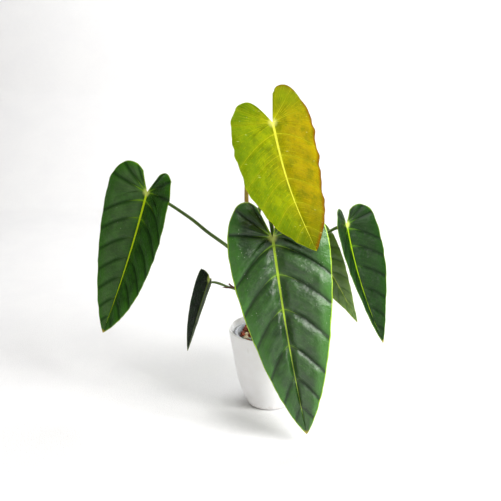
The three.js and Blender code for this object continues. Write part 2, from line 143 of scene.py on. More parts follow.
# ---------------------------------------------------------------- stem, roots and next leaf
CROWN = FILL_TOP - 6      # the plant's zero height
STEM_DEPTH = 70
STEM_LENGTH = 190
STEM_LINE = [(2, 3, -STEM_DEPTH), (-2, 1, -STEM_DEPTH / 3), (2, -1, 30), (-2, 1, 80), (0, 0, 120)]
STEM_RADIUS = 8
STEM_RIDGE = 0.35         # the low rings between its nodes
STEM_TAPER = 0.12         # this one and the next are shares of the radius
STEM_SWELLING = 0.16
NODE_SPACING = 24
FREE_ROOT_RISE = 84
FREE_ROOT = [(-34, -22, 109), (-56, -28, 114), (-69, -30, 114)]
FREE_ROOT_ENDS = [(-90, -31, 114), (-78, -31, 122)]
FORK_BEND = (-73, -31, 117)
GROUND_ROOTS = [
    (46, [(13, -9, 41), (18, -12, 17), (21.6, -14.4, -22)]),
    (32, [(-12, 10, 27), (-16, 13, 13), (-19.2, 15.6, -22)]),
]
ROOT_RADIUS = 1.6
ROOT_RINGING = 0.12       # height of the fine rings along a root
SPEAR_RISE = 115
SPEAR_TIP = (6, 30, 219)
SPEAR_RADIUS = 5
SPEAR_WINDING = 5         # how far the rolled leaf winds round, in radians
SPEAR_STEP = 0.8          # height of its overlapping edge

# ---------------------------------------------------------------- loose grains
GRAIN_KINDS = ("lava", "lava", "lava", "pumice", "lava", "zeolite")
GRAIN_SIZES = (7, 11)
GRAIN_LAYERS = ((1.5, 5.5), (6.0, 6.0))  # height above the fill, and distance kept from its wall
GRAIN_TRIES = 2600        # in each layer
GRAIN_SPACING = 0.42      # least distance between two, as a share of their sizes together

# ---------------------------------------------------------------- stage, lights and camera, in metres
STAGE_LINE = [(-3.0, 0), (0.9, 0), (1.6, 0.05), (2.05, 0.5), (2.1, 1.2), (2.1, 4.0)]  # back, up
STAGE_HALF_WIDTH = 4
STAGE_DROP = 0.0005       # just below the pot, so the two don't touch
PLANT_MIDDLE = (0, 0, 0.3)
LIGHTS = [                # name, place, aim, size, watts, colour
    ("window_light", (1.35, -1.15, 1.5), PLANT_MIDDLE, 1.2, 64, (1.0, 0.99, 0.98)),
    ("soft_fill", (-1.7, -1.3, 0.9), PLANT_MIDDLE, 1.4, 5, (1.0, 0.9, 0.82)),
    ("top_light", (0.1, 0.2, 2.2), PLANT_MIDDLE, 1.4, 10, (1.0, 1.0, 1.0)),
    ("backdrop_light", (0.3, 0.9, 2.3), (0, 2.1, 0.7), 1.4, 30, (1.0, 1.0, 1.0)),
]
ROOM_COLOUR = (1.0, 0.99, 0.97, 1)
ROOM_STRENGTH = 0.2
CAMERA_PLACE = (-0.0376, -1.256, 0.649)
CAMERA_TILT = 74.8
CAMERA_LENS = 50
CAMERA_SENSOR = 36

# ---------------------------------------------------------------- small modelling helpers
def deselect_all():
    if bpy.context.object and bpy.context.object.mode != "OBJECT":
        bpy.ops.object.mode_set(mode="OBJECT")
    bpy.ops.object.select_all(action="DESELECT")


def only(obj):
    deselect_all()
    obj.select_set(True)
    bpy.context.view_layer.objects.active = obj


def apply_modifier(obj, kind, **values):
    only(obj)
    modifier = obj.modifiers.new(kind.title(), kind)
    for key, value in values.items():
        setattr(modifier, key, value)
    bpy.ops.object.modifier_apply(modifier=modifier.name)


def edit(obj, *steps):
    """Runs edit-mode steps on the whole of one mesh."""
    only(obj)
    bpy.ops.object.mode_set(mode="EDIT")
    bpy.ops.mesh.select_all(action="SELECT")
    for step in steps:
        step()
    bpy.ops.object.mode_set(mode="OBJECT")


def merge_doubles(threshold=1e-6):
    return lambda: bpy.ops.mesh.remove_doubles(threshold=threshold)


def normals_out():
    bpy.ops.mesh.normals_make_consistent(inside=False)


def grid_sheet(name, columns, rows):
    """A flat grid from -1 to 1 each way, ready to be shaped."""
    deselect_all()
    bpy.ops.mesh.primitive_grid_add(x_subdivisions=columns, y_subdivisions=rows, size=2)
    sheet = bpy.context.object
    sheet.name = name
    sheet.data.name = name
    return sheet


def read_points(obj, kind="co"):
    """Each point's place, or its normal."""
    flat = np.empty(len(obj.data.vertices) * 3)
    obj.data.vertices.foreach_get(kind, flat)
    return flat.reshape(-1, 3)


def write_points(obj, points):
    obj.data.vertices.foreach_set("co", np.asarray(points, float).ravel())
    obj.data.update()


def push_out(obj, heights):
    """Moves each point along its normal."""
    write_points(obj, read_points(obj) + read_points(obj, "normal") * heights[:, None] * MM)


def store(obj, name, values):
    """A number for each point, which the materials read by this name."""
    attribute = obj.data.attributes.get(name) or obj.data.attributes.new(name, "FLOAT", "POINT")
    attribute.data.foreach_set("value", np.asarray(values, float).ravel())


def stored(obj, name):
    values = np.empty(len(obj.data.vertices))
    obj.data.attributes[name].data.foreach_get("value", values)
    return values


def rough_ground(points, size, seed):
    """Smooth noise from -1 to 1 at each point, with hills about this size."""
    offset = Vector((seed * 7.3, seed * 3.1, seed * 1.7))
    return np.array([noise.noise(Vector(p) / size + offset) for p in points])


def smoothstep(low, high, x):
    t = np.clip((x - low) / (high - low), 0, 1)
    return t * t * (3 - 2 * t)


def finish_piece(obj, material, replaced, angle=50):
    """Smooth shading, material, body, and hiding the CAD nodes that this piece stands for."""
    only(obj)
    bpy.ops.object.shade_smooth_by_angle(angle=math.radians(angle))
    obj.data.materials.clear()
    obj.data.materials.append(material)
    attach(obj, "root")
    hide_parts(*replaced)


def grown(point):
    """A place in the model, from one on the plant, whose height is above its crown."""
    return np.array([point[0], point[1], point[2] + CROWN], float)


# ---------------------------------------------------------------- curves and tubes
def curve_points(points, count):
    """Evenly spaced points on a smooth curve through the given ones (centripetal Catmull-Rom)."""
    knots = [np.asarray(p, float) for p in points]
    knots = [2 * knots[0] - knots[1]] + knots + [2 * knots[-1] - knots[-2]]
    dense = []
    for p0, p1, p2, p3 in zip(knots, knots[1:], knots[2:], knots[3:]):
        t1 = math.sqrt(np.linalg.norm(p1 - p0)) + 1e-9
        t2 = t1 + math.sqrt(np.linalg.norm(p2 - p1)) + 1e-9
        t3 = t2 + math.sqrt(np.linalg.norm(p3 - p2)) + 1e-9
        for t in np.linspace(t1, t2, 24, endpoint=False):
            a1 = (t1 - t) / t1 * p0 + t / t1 * p1
            a2 = (t2 - t) / (t2 - t1) * p1 + (t - t1) / (t2 - t1) * p2
            a3 = (t3 - t) / (t3 - t2) * p2 + (t - t2) / (t3 - t2) * p3
            b1 = (t2 - t) / t2 * a1 + t / t2 * a2
            b2 = (t3 - t) / (t3 - t1) * a2 + (t - t1) / (t3 - t1) * a3
            dense.append((t2 - t) / (t2 - t1) * b1 + (t - t1) / (t2 - t1) * b2)
    dense.append(knots[-2])
    dense = np.array(dense)
    length = np.concatenate([[0], np.cumsum(np.linalg.norm(np.diff(dense, axis=0), axis=1))])
    wanted = np.linspace(0, length[-1], count)
    even = np.stack([np.interp(wanted, length, dense[:, k]) for k in range(3)], 1)
    return even, length[-1]


def ring_frames(line):
    """Two directions across the line at each of its points, turning as little as possible."""
    tangents = np.gradient(line, axis=0)
    tangents /= np.linalg.norm(tangents, axis=1)[:, None]
    start = np.array([0, 0, 1.0]) if abs(tangents[0][2]) < 0.8 else np.array([1.0, 0, 0])
    across = [np.cross(tangents[0], start)]
    for tangent in tangents[1:]:
        step = across[-1] - tangent * np.dot(across[-1], tangent)
        across.append(step)
    across = np.array(across)
    across /= np.linalg.norm(across, axis=1)[:, None]
    return across, np.cross(tangents, across)


def tube(name, points, radius_at, sides, rings):
    """A closed tube along a smooth curve, rolled up from a grid; radius_at takes 0 to 1 and millimetres."""
    sheet = grid_sheet(name, sides, rings)
    flat = read_points(sheet)
    angle = (flat[:, 0] + 1) * math.pi
    ring = np.rint((flat[:, 1] + 1) / 2 * rings).astype(int)
    line, length = curve_points(points, rings + 1)
    first, second = ring_frames(line)
    share = ring / rings
    radius = np.array([radius_at(t, t * length) for t in np.linspace(0, 1, rings + 1)])[ring]
    radius[(ring == 0) | (ring == rings)] = 0
    placed = line[ring] + radius[:, None] * (
        np.cos(angle)[:, None] * first[ring] + np.sin(angle)[:, None] * second[ring])
    store(sheet, "share", share)
    store(sheet, "length", share * length)
    store(sheet, "ring_x", np.cos(angle) * 3)
    store(sheet, "ring_y", np.sin(angle) * 3)
    write_points(sheet, placed * MM)
    edit(sheet, merge_doubles(), normals_out)
    return sheet


# ---------------------------------------------------------------- leaf blades
def outline(leaf, half, count):
    """The flat outline of one half: x outwards from the midrib, y up from the notch."""
    across = np.array([p[0] for p in HALF_OUTLINE])
    along = np.array([p[1] for p in HALF_OUTLINE])
    down = np.maximum(0, -along)
    across = across + leaf["full"][half] * np.sin(np.pi * down)
    across = across + leaf["tip_full"][half] * np.sin(np.pi * down ** 2)
    y = np.where(along > 0, along * leaf["lobe"][half], along * leaf["length"])
    knots = np.stack([across * leaf["width"][half], y], 1)
    padded = np.vstack([knots[:1], knots, knots[-1:]])
    t = np.linspace(0, len(knots) - 1, count)
    i = np.minimum(t.astype(int), len(knots) - 2)
    f = (t - i)[:, None]
    a, b, c, d = padded[i], padded[i + 1], padded[i + 2], padded[i + 3]
    squared, cubed = 2 * a - 5 * b + 4 * c - d, 3 * b - a - 3 * c + d
    return 0.5 * (2 * b + (c - a) * f + squared * f ** 2 + cubed * f ** 3)


def curved(leaf, half, x, y):
    """Places on the curved blade and the way its face points, in the leaf's own frame."""
    side = np.where(half == 0, -1.0, 1.0)
    pick = lambda key: np.where(half == 0, leaf[key][0], leaf[key][1])
    down = -y
    along = np.where(
        down >= 0, math.radians(leaf["bend"]) / leaf["length"],
        -math.radians(leaf["lobe_bend"] or 1e-4) / leaf["lobe"][1])
    turn = along * down
    reach = np.sin(turn) / along
    drop = (1 - np.cos(turn)) / along
    width = pick("width")
    cupping = np.radians(pick("cup")) / width
    cupping = np.where(np.abs(cupping) < 1e-6, 1e-6, cupping)
    fold = np.radians(pick("fold"))
    lean = fold + cupping * x
    outwards = (np.sin(lean) - np.sin(fold)) / cupping
    lift = (np.cos(fold) - np.cos(lean)) / cupping
    bow = leaf["sway"] * np.sin(np.pi * np.clip(down / leaf["length"], 0, 1))
    sign = np.where(along * down < 0, -1.0, 1.0)
    up = np.stack([np.zeros_like(turn), -np.sin(turn), np.cos(turn)], -1)
    place = np.stack([side * outwards + bow, -reach, -np.abs(drop) * sign], -1) + up * lift[..., None]
    facing = np.where(x > 1e-6, lean, 0)
    normal = up * np.cos(facing)[..., None]
    normal[..., 0] -= side * np.sin(facing)
    return place, normal


def leaf_matrix(leaf):
    turn = Matrix.Rotation(math.radians(leaf["yaw"]), 4, "Z")
    turn = turn @ Matrix.Rotation(math.radians(90 + leaf["pitch"]), 4, "X")
    turn = turn @ Matrix.Rotation(math.radians(leaf["roll"]), 4, "Z")
    return Matrix.Translation(Vector(grown(leaf["notch"]))) @ turn


def to_model(leaf, points):
    matrix = np.array(leaf_matrix(leaf))
    return np.asarray(points) @ matrix[:3, :3].T + matrix[:3, 3]


def vein_count(leaf, start):
    """How many veins have been passed, counting down the outline; whole numbers lie on a vein."""
    ends = np.linspace(0, 1, ROWS + 1)
    side = [np.interp(m, start, ends) for m in leaf.get("veins", SIDE_VEINS)]
    stops = [0, *LOBE_VEINS, *side, 1]
    return np.interp(ends, stops, np.arange(len(stops)))


def distance_to_line(points, line):
    """How far each flat point is from a line of points."""
    a, b = line[:-1], line[1:]
    step = b - a
    t = ((points[:, None] - a) * step).sum(2) / ((step ** 2).sum(1) + 1e-12)
    nearest = a + np.clip(t, 0, 1)[..., None] * step
    return np.linalg.norm(points[:, None] - nearest, axis=2).min(1)


def blade(name, leaf, seed):
    sheet = grid_sheet("leaf_" + name, 2 * COLUMNS, ROWS)
    flat = read_points(sheet)
    half = (flat[:, 0] > 0).astype(int)
    v = np.abs(flat[:, 0]) ** COLUMN_SPREAD
    row = np.rint((1 - flat[:, 1]) / 2 * ROWS).astype(int)
    margins = [outline(leaf, h, ROWS + 1) for h in (0, 1)]
    end_down = -margins[1][:, 1] / leaf["length"]
    start = np.maximum(0, end_down - VEIN_DROP * (1 - np.maximum(end_down, 0) ** 6))
    start[-1] = 1
    bend = 1 + VEIN_BEND * smoothstep(-0.05, 0.3, end_down)
    edge = np.where(half[:, None] == 0, margins[0][row], margins[1][row])
    x = edge[:, 0] * v
    from_y = -start[row] * leaf["length"]
    y = from_y + (edge[:, 1] - from_y) * v ** bend[row]

    phase = vein_count(leaf, start)
    ends = np.stack([edge[:, 0] * np.where(half == 0, -1, 1), edge[:, 1], np.full(len(x), seed * 40.0)], 1)
    nibble = leaf["crinkle"] * rough_ground(ends, NIBBLE_SIZE, seed + 3) * v ** 5 * (1 - start[row] ** 4)
    place, normal = curved(leaf, half, np.maximum(0, x + nibble), y)
    pitch = local_pitch(flat, row, x, y, phase)
    height = pillows(leaf, half, v, phase[row], pitch, place, seed)
    calm = 1 - start[row] ** 3
    sway = 0.5 * leaf["wave"] * rough_ground(place, SWAY_SIZE, seed) * smoothstep(0, 0.5, v)
    ripple = leaf["wave"] * v ** 3 * rough_ground(place, RIPPLE_SIZE, seed + 5) * (1 - start[row])
    place = place + normal * ((height + sway + ripple) * calm)[:, None]

    store(sheet, "rib", x)
    store(sheet, "notch", np.hypot(x, y))
    store(sheet, "edge", np.where(half == 0, *[edge_distance(margins[h], x, y) for h in (0, 1)]))
    store(sheet, "phase", phase[row])
    store(sheet, "pitch", pitch)
    store(sheet, "down", np.clip(-y / leaf["length"], -0.3, 1))
    store(sheet, "across", v)
    store(sheet, "side", np.where(half == 0, -v, v))
    write_points(sheet, to_model(leaf, place) * MM)
    edit(sheet, merge_doubles(2e-5))

    count = len(sheet.data.vertices)
    apply_modifier(sheet, "SOLIDIFY", thickness=BLADE_THICKNESS * MM, offset=0, use_even_offset=False)
    under = (np.arange(len(sheet.data.vertices)) >= count).astype(float)
    store(sheet, "under", under)
    raise_midrib(sheet, under)
    apply_modifier(sheet, "SUBSURF", levels=1, render_levels=1)
    return sheet


def pillows(leaf, half, v, phase, pitch, place, seed):
    """Heights of the blade between its veins: creased at each vein, and puckered across near the midrib."""
    tall = np.where(half == 0, *leaf["quilt"]) * np.clip(pitch / FULL_PITCH, 0.25, 1)
    gap = np.abs(np.mod(phase + 0.5, 1) - 0.5) * pitch
    crease = 1 - np.exp(-gap / CREASE_WIDTH) + 0.35 * np.sin(np.pi * phase) ** 2
    quilt = tall * crease * smoothstep(0.02, 0.25, v) * (1 - 0.8 * smoothstep(0.8, 1.0, v))
    uneven = 0.6 + 0.8 * rough_ground(place, PATCH_SIZE, seed + 9)
    pucker = 0.3 * tall * (np.abs(np.sin(3 * np.pi * phase)) - 0.4) * uneven
    pucker = pucker * smoothstep(0.03, 0.16, v) * (1 - smoothstep(0.35, 0.8, v))
    lumps = 0.22 * tall * rough_ground(place, LUMP_SIZE, seed + 2) * smoothstep(0.05, 0.3, v)
    return quilt + pucker + lumps


def edge_distance(margin, x, y):
    line = np.vstack([[0, 0], margin])
    return distance_to_line(np.stack([x, y], 1), line)


def local_pitch(flat, row, x, y, phase):
    """Millimetres from one vein to the next at each point of the grid."""
    column = np.rint((flat[:, 0] + 1) * COLUMNS).astype(int)
    table = np.zeros((ROWS + 1, 2 * COLUMNS + 1, 2))
    table[row, column, 0] = x
    table[row, column, 1] = y
    step = np.linalg.norm(np.gradient(table, axis=0), axis=2)
    turns = np.gradient(phase)[:, None]
    return (step / np.maximum(turns, 1e-4))[row, column]


def raise_midrib(sheet, under):
    """A strong ridge along the back of the midrib and a low one along its face, thinning to the tip."""
    rib, down = stored(sheet, "rib"), stored(sheet, "down")
    taper = np.clip(1 - down, 0, 1)
    width = 1.2 + 1.6 * taper
    shape = np.exp(-(rib / width) ** 2) * np.where(down < -0.001, 0, 1)
    tall = np.where(under > 0.5, RIB_DEPTH * taper ** 0.7, RIB_HEIGHT_ON_FACE * taper)
    push_out(sheet, shape * tall)


def petiole(name, leaf):
    """The leaf stalk: out of the stem, along its way, and round behind the notch into the midrib."""
    behind = lambda down, depth: to_model(leaf, seat_point(leaf, down, depth))
    points = [stem_point(leaf["rise"]), *[grown(p) for p in leaf["via"]]]
    points += [behind(PETIOLE_SEAT, 22), behind(PETIOLE_SEAT - 1, 9), behind(PETIOLE_SEAT + 1, 3.2)]
    points += [behind(PETIOLE_SEAT + 12, 1.2), behind(PETIOLE_SEAT + 30, 0.7)]
    thick, thin = leaf["petiole"]
    _, length = curve_points(points, 200)

    def radius_at(t, along):
        left = length - along
        clasp = thick * 0.75 * math.exp(-((along - 8) / 9) ** 2)
        joint = thin * 0.22 * math.exp(-((left - 46) / 12) ** 2)
        fade = min(1, (left + 6) / 36)
        return (thin + (thick - thin) * (1 - t) + clasp + joint) * fade

    return tube("stalk_" + name, points, radius_at, sides=24, rings=max(60, int(length / 2.2)))


def seat_point(leaf, down, depth):
    """A point behind the midrib, this far down from the notch and this deep below the face."""
    place, normal = curved(leaf, np.array([1]), np.array([0.0]), np.array([-float(down)]))
    return place[0] - normal[0] * (BLADE_THICKNESS / 2 + depth)


def stem_point(rise):
    """The middle of the stem, this many millimetres above the fill."""
    line, _ = curve_points([grown(p) for p in STEM_LINE], STEM_LENGTH + 1)
    return line[STEM_DEPTH + rise]


# ---------------------------------------------------------------- stem, roots and the rolled next leaf
def stem():
    def radius_at(t, along):
        turn = along / NODE_SPACING
        ring = max(0, math.cos(turn * 2 * math.pi)) ** 6
        scar = STEM_RIDGE * math.cos(turn * 10 * math.pi) ** 2
        return STEM_RADIUS * (1 - STEM_TAPER * t) * (1 + STEM_SWELLING * ring) + scar

    trunk = tube("stem_trunk", [grown(p) for p in STEM_LINE], radius_at, sides=48, rings=260)
    push_out(trunk, rough_ground(read_points(trunk) / MM, 5, 3) * 0.35)
    return trunk


def root(name, points, seed):
    def radius_at(t, along):
        tip = min(1, (1 - t) * 14)
        return ROOT_RADIUS * (1.25 - 0.35 * t) * math.sqrt(tip) + ROOT_RINGING * math.sin(along * 1.9 + seed)

    strand = tube(name, points, radius_at, sides=16, rings=90)
    push_out(strand, rough_ground(read_points(strand) / MM, 2.2, seed) * 0.18)
    return strand


def forked_root():
    long_end, short_end = FREE_ROOT_ENDS
    main = root("forked_root", [stem_point(FREE_ROOT_RISE), *[grown(p) for p in (*FREE_ROOT, long_end)]], 1)
    short = root("root_fork", [grown(p) for p in (FREE_ROOT[-1], FORK_BEND, short_end)], 2)
    only(main)
    short.select_set(True)
    bpy.ops.object.join()
    return main


def next_leaf():
    start = stem_point(SPEAR_RISE) + np.array([-1, 5, 0])
    tip = grown(SPEAR_TIP)
    middle = (start + tip) / 2 + np.array([-1, 3, 0])

    def radius_at(t, _):
        return SPEAR_RADIUS * math.sqrt(max(0, (1 - t) * (0.55 + 1.8 * t)))

    rolled = tube("rolled_leaf", [start, middle, tip], radius_at, sides=40, rings=120)
    share = stored(rolled, "share")
    turn = np.arctan2(stored(rolled, "ring_y"), stored(rolled, "ring_x")) + share * SPEAR_WINDING
    overlap = np.mod(turn, 2 * np.pi) / (2 * np.pi)
    step = (overlap - 0.5) * SPEAR_STEP * np.clip(1 - share, 0, 1)
    push_out(rolled, step)
    return rolled


# ---------------------------------------------------------------- pots and fill
def turned(name, profile, sides):
    """A closed body of revolution: a disc whose rim is extruded and resized through the profile."""
    deselect_all()
    (radius, z), rest = profile[0], profile[1:]
    bpy.ops.mesh.primitive_circle_add(
        vertices=sides, radius=radius * MM, fill_type="TRIFAN", location=(0, 0, z * MM))
    body = bpy.context.object
    body.name = name
    body.data.name = name
    bpy.ops.object.mode_set(mode="EDIT")
    bpy.ops.mesh.select_all(action="SELECT")
    bpy.ops.mesh.region_to_loop()
    for next_radius, next_z in rest:
        bpy.ops.mesh.extrude_region_move(TRANSFORM_OT_translate={"value": (0, 0, (next_z - z) * MM)})
        if abs(next_radius - radius) > 1e-6:
            share = next_radius / radius
            bpy.ops.transform.resize(value=(share, share, 1))
        radius, z = next_radius, next_z
    bpy.ops.mesh.extrude_region_move()
    bpy.ops.mesh.merge(type="CENTER")
    bpy.ops.mesh.select_all(action="SELECT")
    normals_out()
    bpy.ops.object.mode_set(mode="OBJECT")
    bpy.ops.object.transform_apply(location=True, rotation=True, scale=True)
    return body


def arc(centre, radius, start, end, steps):
    angles = np.radians(np.linspace(start, end, steps + 1))
    return [(centre[0] + radius * math.cos(a), centre[1] + radius * math.sin(a)) for a in angles]


def stretch(low, high, steps):
    """Evenly spaced points from one profile point to another, without the last."""
    return [tuple(np.array(low) + (np.array(high) - np.array(low)) * i / steps) for i in range(steps)]


def cover_pot():
    slope = (POT_RIM_RADIUS - POT_BASE_RADIUS) / POT_HEIGHT
    outer = lambda z: POT_BASE_RADIUS + slope * z - POT_TUCK * max(0, 1 - z / POT_TUCK_HEIGHT) ** 2
    inner = lambda z: outer(z) - POT_WALL
    lean = math.atan(slope + 2 * POT_TUCK / POT_TUCK_HEIGHT)
    foot_top = POT_FOOT_ROUNDING * (1 - math.sin(lean))
    foot = (outer(foot_top) - POT_FOOT_ROUNDING * math.cos(lean), POT_FOOT_ROUNDING)
    lip = POT_WALL / 2
    lip_centre = (POT_RIM_RADIUS - lip, POT_HEIGHT - lip)
    cove_top = POT_FLOOR + POT_FOOT_ROUNDING
    cove = (inner(cove_top) - POT_FOOT_ROUNDING, cove_top)
    profile = BASE_RINGS + arc(foot, POT_FOOT_ROUNDING, -90, -math.degrees(lean), 10)
    profile += [(outer(z), z) for z in np.linspace(6, POT_HEIGHT - 4, 30)]
    profile += arc(lip_centre, lip, -8, 188, 12)
    profile += [(inner(z), z) for z in np.linspace(POT_HEIGHT - 5, cove_top + 2, 24)]
    profile += arc(cove, POT_FOOT_ROUNDING, 0, -90, 8) + [(24, POT_FLOOR), (10, POT_FLOOR)]
    return turned("cover_pot_shell", profile, POT_SIDES)


def nursery_pot():
    """The inner pot with its rolled rim and drain holes, its edges softened."""
    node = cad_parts["nursery_pot"]
    only(node)
    bpy.ops.object.duplicate()
    pot = bpy.context.object
    pot.name = "nursery_pot_shell"
    edit(pot, merge_doubles(1e-5), normals_out)
    apply_modifier(
        pot, "BEVEL", width=NURSERY_SOFTENING * MM, segments=2, limit_method="ANGLE",
        angle_limit=math.radians(40))
    for key in list(pot.keys()):
        if key.startswith("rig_"):
            del pot[key]
    return pot


def bed():
    """The mass of the fill under the loose granules, with a rough top."""
    low = FILL_FOOT_RADIUS
    profile = [(low - 4, FILL_BASE), (low, FILL_BASE + 4)]
    profile += stretch((low + 0.5, FILL_BASE + 6), (FILL_RADIUS - 1.5, FILL_TOP - 5), 14)
    profile += [(FILL_RADIUS - 2.5, FILL_TOP - 2)]
    profile += [(r, FILL_TOP - 1) for r in range(54, 4, -4)]
    mass = turned("substrate_bed", profile, BED_SIDES)
    points = read_points(mass)
    top = points[:, 2] > (FILL_TOP - 2.5) * MM
    lumps = rough_ground(points / MM, 6, 4) * 1.2
    points[:, 2] += np.where(top, lumps * MM, 0)
    write_points(mass, points)
    return mass


def granule(size, seed):
    """One grain of a few faces: a rounded, squeezed and dented block."""
    deselect_all()
    bpy.ops.mesh.primitive_cube_add(size=1)
    grain = bpy.context.object
    edit(grain, lambda: bpy.ops.mesh.subdivide(number_cuts=1))
    points = read_points(grain)
    chance = random.Random(seed)
    round_share = chance.uniform(0.55, 0.8)
    ball = points / np.linalg.norm(points, axis=1)[:, None] * 0.55
    points = points * (1 - round_share) + ball * round_share
    points += np.array([[chance.uniform(-0.07, 0.07) for _ in range(3)] for _ in points])
    squeeze = np.array([chance.uniform(0.8, 1.1), chance.uniform(0.75, 1.05), chance.uniform(0.65, 0.9)])
    spin = Matrix.Rotation(chance.uniform(0, 6.3), 3, "Z")
    turn = spin @ Matrix.Rotation(chance.uniform(-0.7, 0.7), 3, "X")
    write_points(grain, (points * squeeze) @ np.array(turn).T * size * MM)
    return grain


def loose_grains():
    """Places, sizes and kinds of all the grains: those of the model first, then the rest between them."""
    grains = []
    for node in sorted(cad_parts):
        if node.startswith("granule_"):
            low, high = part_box(node)
            centre = (low + high) / 2 / MM
            grains.append((np.array(centre), max(high - low) / MM * 1.05, node.split("_")[1]))
    chance = random.Random(11)
    for rise, inset in GRAIN_LAYERS:
        for _ in range(GRAIN_TRIES):
            size = chance.uniform(*GRAIN_SIZES)
            reach = (FILL_RADIUS - inset) * math.sqrt(chance.random())
            angle = chance.uniform(0, 2 * math.pi)
            height = FILL_TOP + rise + chance.uniform(-0.8, 1.0)
            place = np.array([reach * math.cos(angle), reach * math.sin(angle), height])
            kind = chance.choice(GRAIN_KINDS)
            free = all(
                np.linalg.norm(place - other) > (size + wide) * GRAIN_SPACING for other, wide, _ in grains)
            if free and reach > STEM_RADIUS + size / 2:
                grains.append((place, size, kind))
    return grains


def granules(kind, grains):
    """All the grains of one kind, as one piece."""
    made = []
    for number, (place, size, this) in enumerate(grains):
        if this == kind:
            grain = granule(size, number * 17 + len(kind))
            write_points(grain, read_points(grain) + place * MM)
            made.append(grain)
    deselect_all()
    for grain in made:
        grain.select_set(True)
    bpy.context.view_layer.objects.active = made[0]
    bpy.ops.object.join()
    joined = bpy.context.object
    joined.name = kind + "_granules"
    joined.data.name = joined.name
    return joined


# ---------------------------------------------------------------- shader helpers
def colour(red, green, blue):
    """A linear colour with alpha from display values of 0 to 255."""
    linear = [((c / 255 + 0.055) / 1.055) ** 2.4 if c > 10 else c / 255 / 12.92 for c in (red, green, blue)]
    return (*linear, 1)


class Nodes:
    """Adds nodes to one tree. Each call gives an output that the next can take."""

    def __init__(self, tree):
        self.tree = tree

    def set(self, socket, value):
        if isinstance(value, bpy.types.NodeSocket):
            self.tree.links.new(value, socket)
        else:
            socket.default_value = value

    def add(self, kind, inputs, output=0, **settings):
        node = self.tree.nodes.new(kind)
        for key, value in settings.items():
            setattr(node, key, value)
        for socket, value in inputs.items():
            self.set(node.inputs[socket], value)
        return node.outputs[output]

    def math(self, operation, a, b=0.0, clamp=False):
        return self.add("ShaderNodeMath", {0: a, 1: b}, operation=operation, use_clamp=clamp)

    def times(self, a, b):
        return self.math("MULTIPLY", a, b)

    def plus(self, a, b):
        return self.math("ADD", a, b)

    def less(self, a, b):
        return self.math("SUBTRACT", a, b)

    def mix(self, factor, a, b):
        return self.add("ShaderNodeMix", {0: factor, 6: a, 7: b}, 2, data_type="RGBA")

    def over(self, base, mask, strength, tone):
        """One more tone on the base colour, where the mask is, at this strength."""
        return self.mix(self.times(mask, strength), base, tone)

    def ease(self, value, low, high, at_low=0.0, at_high=1.0):
        inputs = {0: value, 1: low, 2: high, 3: at_low, 4: at_high}
        return self.add("ShaderNodeMapRange", inputs, interpolation_type="SMOOTHSTEP")

    def noise(self, place, size, detail=3.0, roughness=0.5):
        inputs = {"Vector": place, "Scale": 1 / size, "Detail": detail, "Roughness": roughness}
        return self.add("ShaderNodeTexNoise", inputs)

    def cells(self, place, size, feature="F1"):
        inputs = {"Vector": place, "Scale": 1 / size}
        return self.add("ShaderNodeTexVoronoi", inputs, "Distance", feature=feature)

    def value(self, name):
        return self.add("ShaderNodeAttribute", {}, "Fac", attribute_name=name)

    def place(self, stretch=(1, 1, 1)):
        """Object coordinates in millimetres, stretched if asked."""
        where = self.add("ShaderNodeTexCoord", {}, "Object")
        scale = tuple(s / MM for s in stretch)
        return self.add("ShaderNodeVectorMath", {0: where, 1: scale}, operation="MULTIPLY")

    def along(self, stretch=(1, 1, 1)):
        """Coordinates that follow a tube: round it and along it, in millimetres."""
        parts = {0: self.value("ring_x"), 1: self.value("ring_y"), 2: self.value("length")}
        where = self.add("ShaderNodeCombineXYZ", parts)
        return self.add("ShaderNodeVectorMath", {0: where, 1: stretch}, operation="MULTIPLY")

    def group(self, tree, **values):
        node = self.tree.nodes.new("ShaderNodeGroup")
        node.node_tree = tree
        for key, value in values.items():
            self.set(node.inputs[key.replace("_", " ").capitalize()], value)
        return node.outputs

    def mottle(self, place, first, second, amount):
        return self.group(EFFECTS["mottle"], place=place, first=first, second=second, amount=amount)["Colour"]

    def specks(self, place, density, share):
        return self.group(EFFECTS["specks"], place=place, density=density, share=share)["Mask"]


SOCKETS = {"colour": "NodeSocketColor", "number": "NodeSocketFloat", "place": "NodeSocketVector"}


def effect(name, inputs, outputs, build):
    """A node group with named sockets, used by several materials."""
    tree = bpy.data.node_groups.new(name, "ShaderNodeTree")
    for socket, kind in inputs.items():
        tree.interface.new_socket(name=socket, in_out="INPUT", socket_type=SOCKETS[kind])
    for socket, kind in outputs.items():
        tree.interface.new_socket(name=socket, in_out="OUTPUT", socket_type=SOCKETS[kind])
    given = tree.nodes.new("NodeGroupInput").outputs
    result = tree.nodes.new("NodeGroupOutput").inputs
    for socket, value in build(Nodes(tree), given).items():
        tree.links.new(value, result[socket])
    return tree


def mottle_effect():
    """Large soft patches and small flecks between two colours."""
    def build(n, given):
        large = n.noise(given["Place"], 20, 2, 0.5)
        fine = n.noise(given["Place"], 2.2, 4, 0.65)
        both = n.plus(n.times(large, 0.55), n.times(fine, 0.45))
        share = n.times(n.ease(both, 0.36, 0.64), given["Amount"])
        return {"Colour": n.mix(share, given["First"], given["Second"])}

    inputs = {"Place": "place", "First": "colour", "Second": "colour", "Amount": "number"}
    return effect("mottle", inputs, {"Colour": "colour"}, build)


